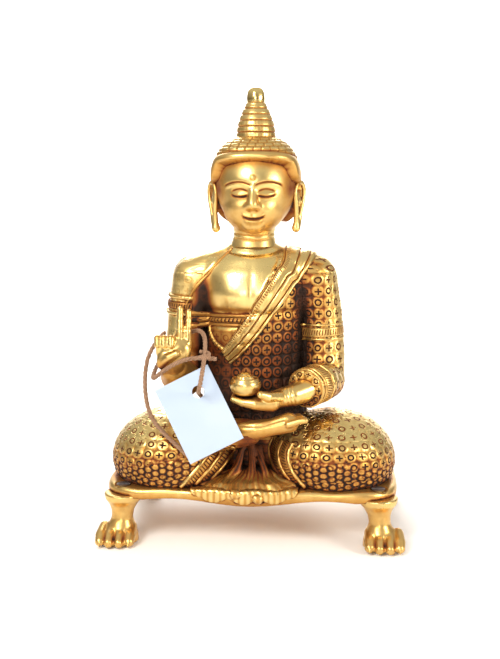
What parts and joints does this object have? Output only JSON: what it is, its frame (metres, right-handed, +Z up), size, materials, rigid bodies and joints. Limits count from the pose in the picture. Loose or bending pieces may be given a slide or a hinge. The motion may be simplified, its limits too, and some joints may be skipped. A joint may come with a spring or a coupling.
{
  "type": "seated buddha statue",
  "caption": "Seated brass buddha with one raised hand and an alms bowl, on a footed plate with paw legs, with a swing tag on twine.",
  "frame": {"origin": "centre of the footprint, on the surface the paws stand on", "axes": "+Z up, +X towards the figure's left hand side, -Y the way the figure faces"},
  "size_m": [0.17, 0.1182, 0.254],
  "materials": {
    "brass": "polished with dark patina in the engraving",
    "stool_brass": "satin polish",
    "steel": "plain",
    "card": "matt white card",
    "jute": "rough twisted jute"
  },
  "bodies": {
    "statue": {"stool_top": "stool_brass", "leg_front_right": "stool_brass", "leg_front_left": "stool_brass", "leg_rear_right": "stool_brass", "leg_rear_left": "stool_brass", "lap": "brass", "hem_fan": "brass", "right_foot": "stool_brass", "upper_body": "brass", "sash": "brass", "waist_band": "brass", "right_forearm": "brass", "right_hand": "brass", "left_forearm": "brass", "left_hand": "brass", "alms_bowl": "brass", "bowl_offering": "brass", "head": "brass", "hair_cap": "brass", "topknot": "brass", "finial_jewel": "brass", "leg_screws": "steel", "fixing_bolt": "steel", "fixing_washer": "steel", "tag_twine": "jute", "twine_knot": "jute"},
    "tag": {"tag_card": "card"}
  },
  "joints": [
    {"name": "tag_lift", "type": "hinge", "parent": "statue", "child": "tag", "pos_m": [-0.0264, -0.051, 0.0896], "axis": [-1, 0, 0], "range_deg": [0, 45]}
  ]
}
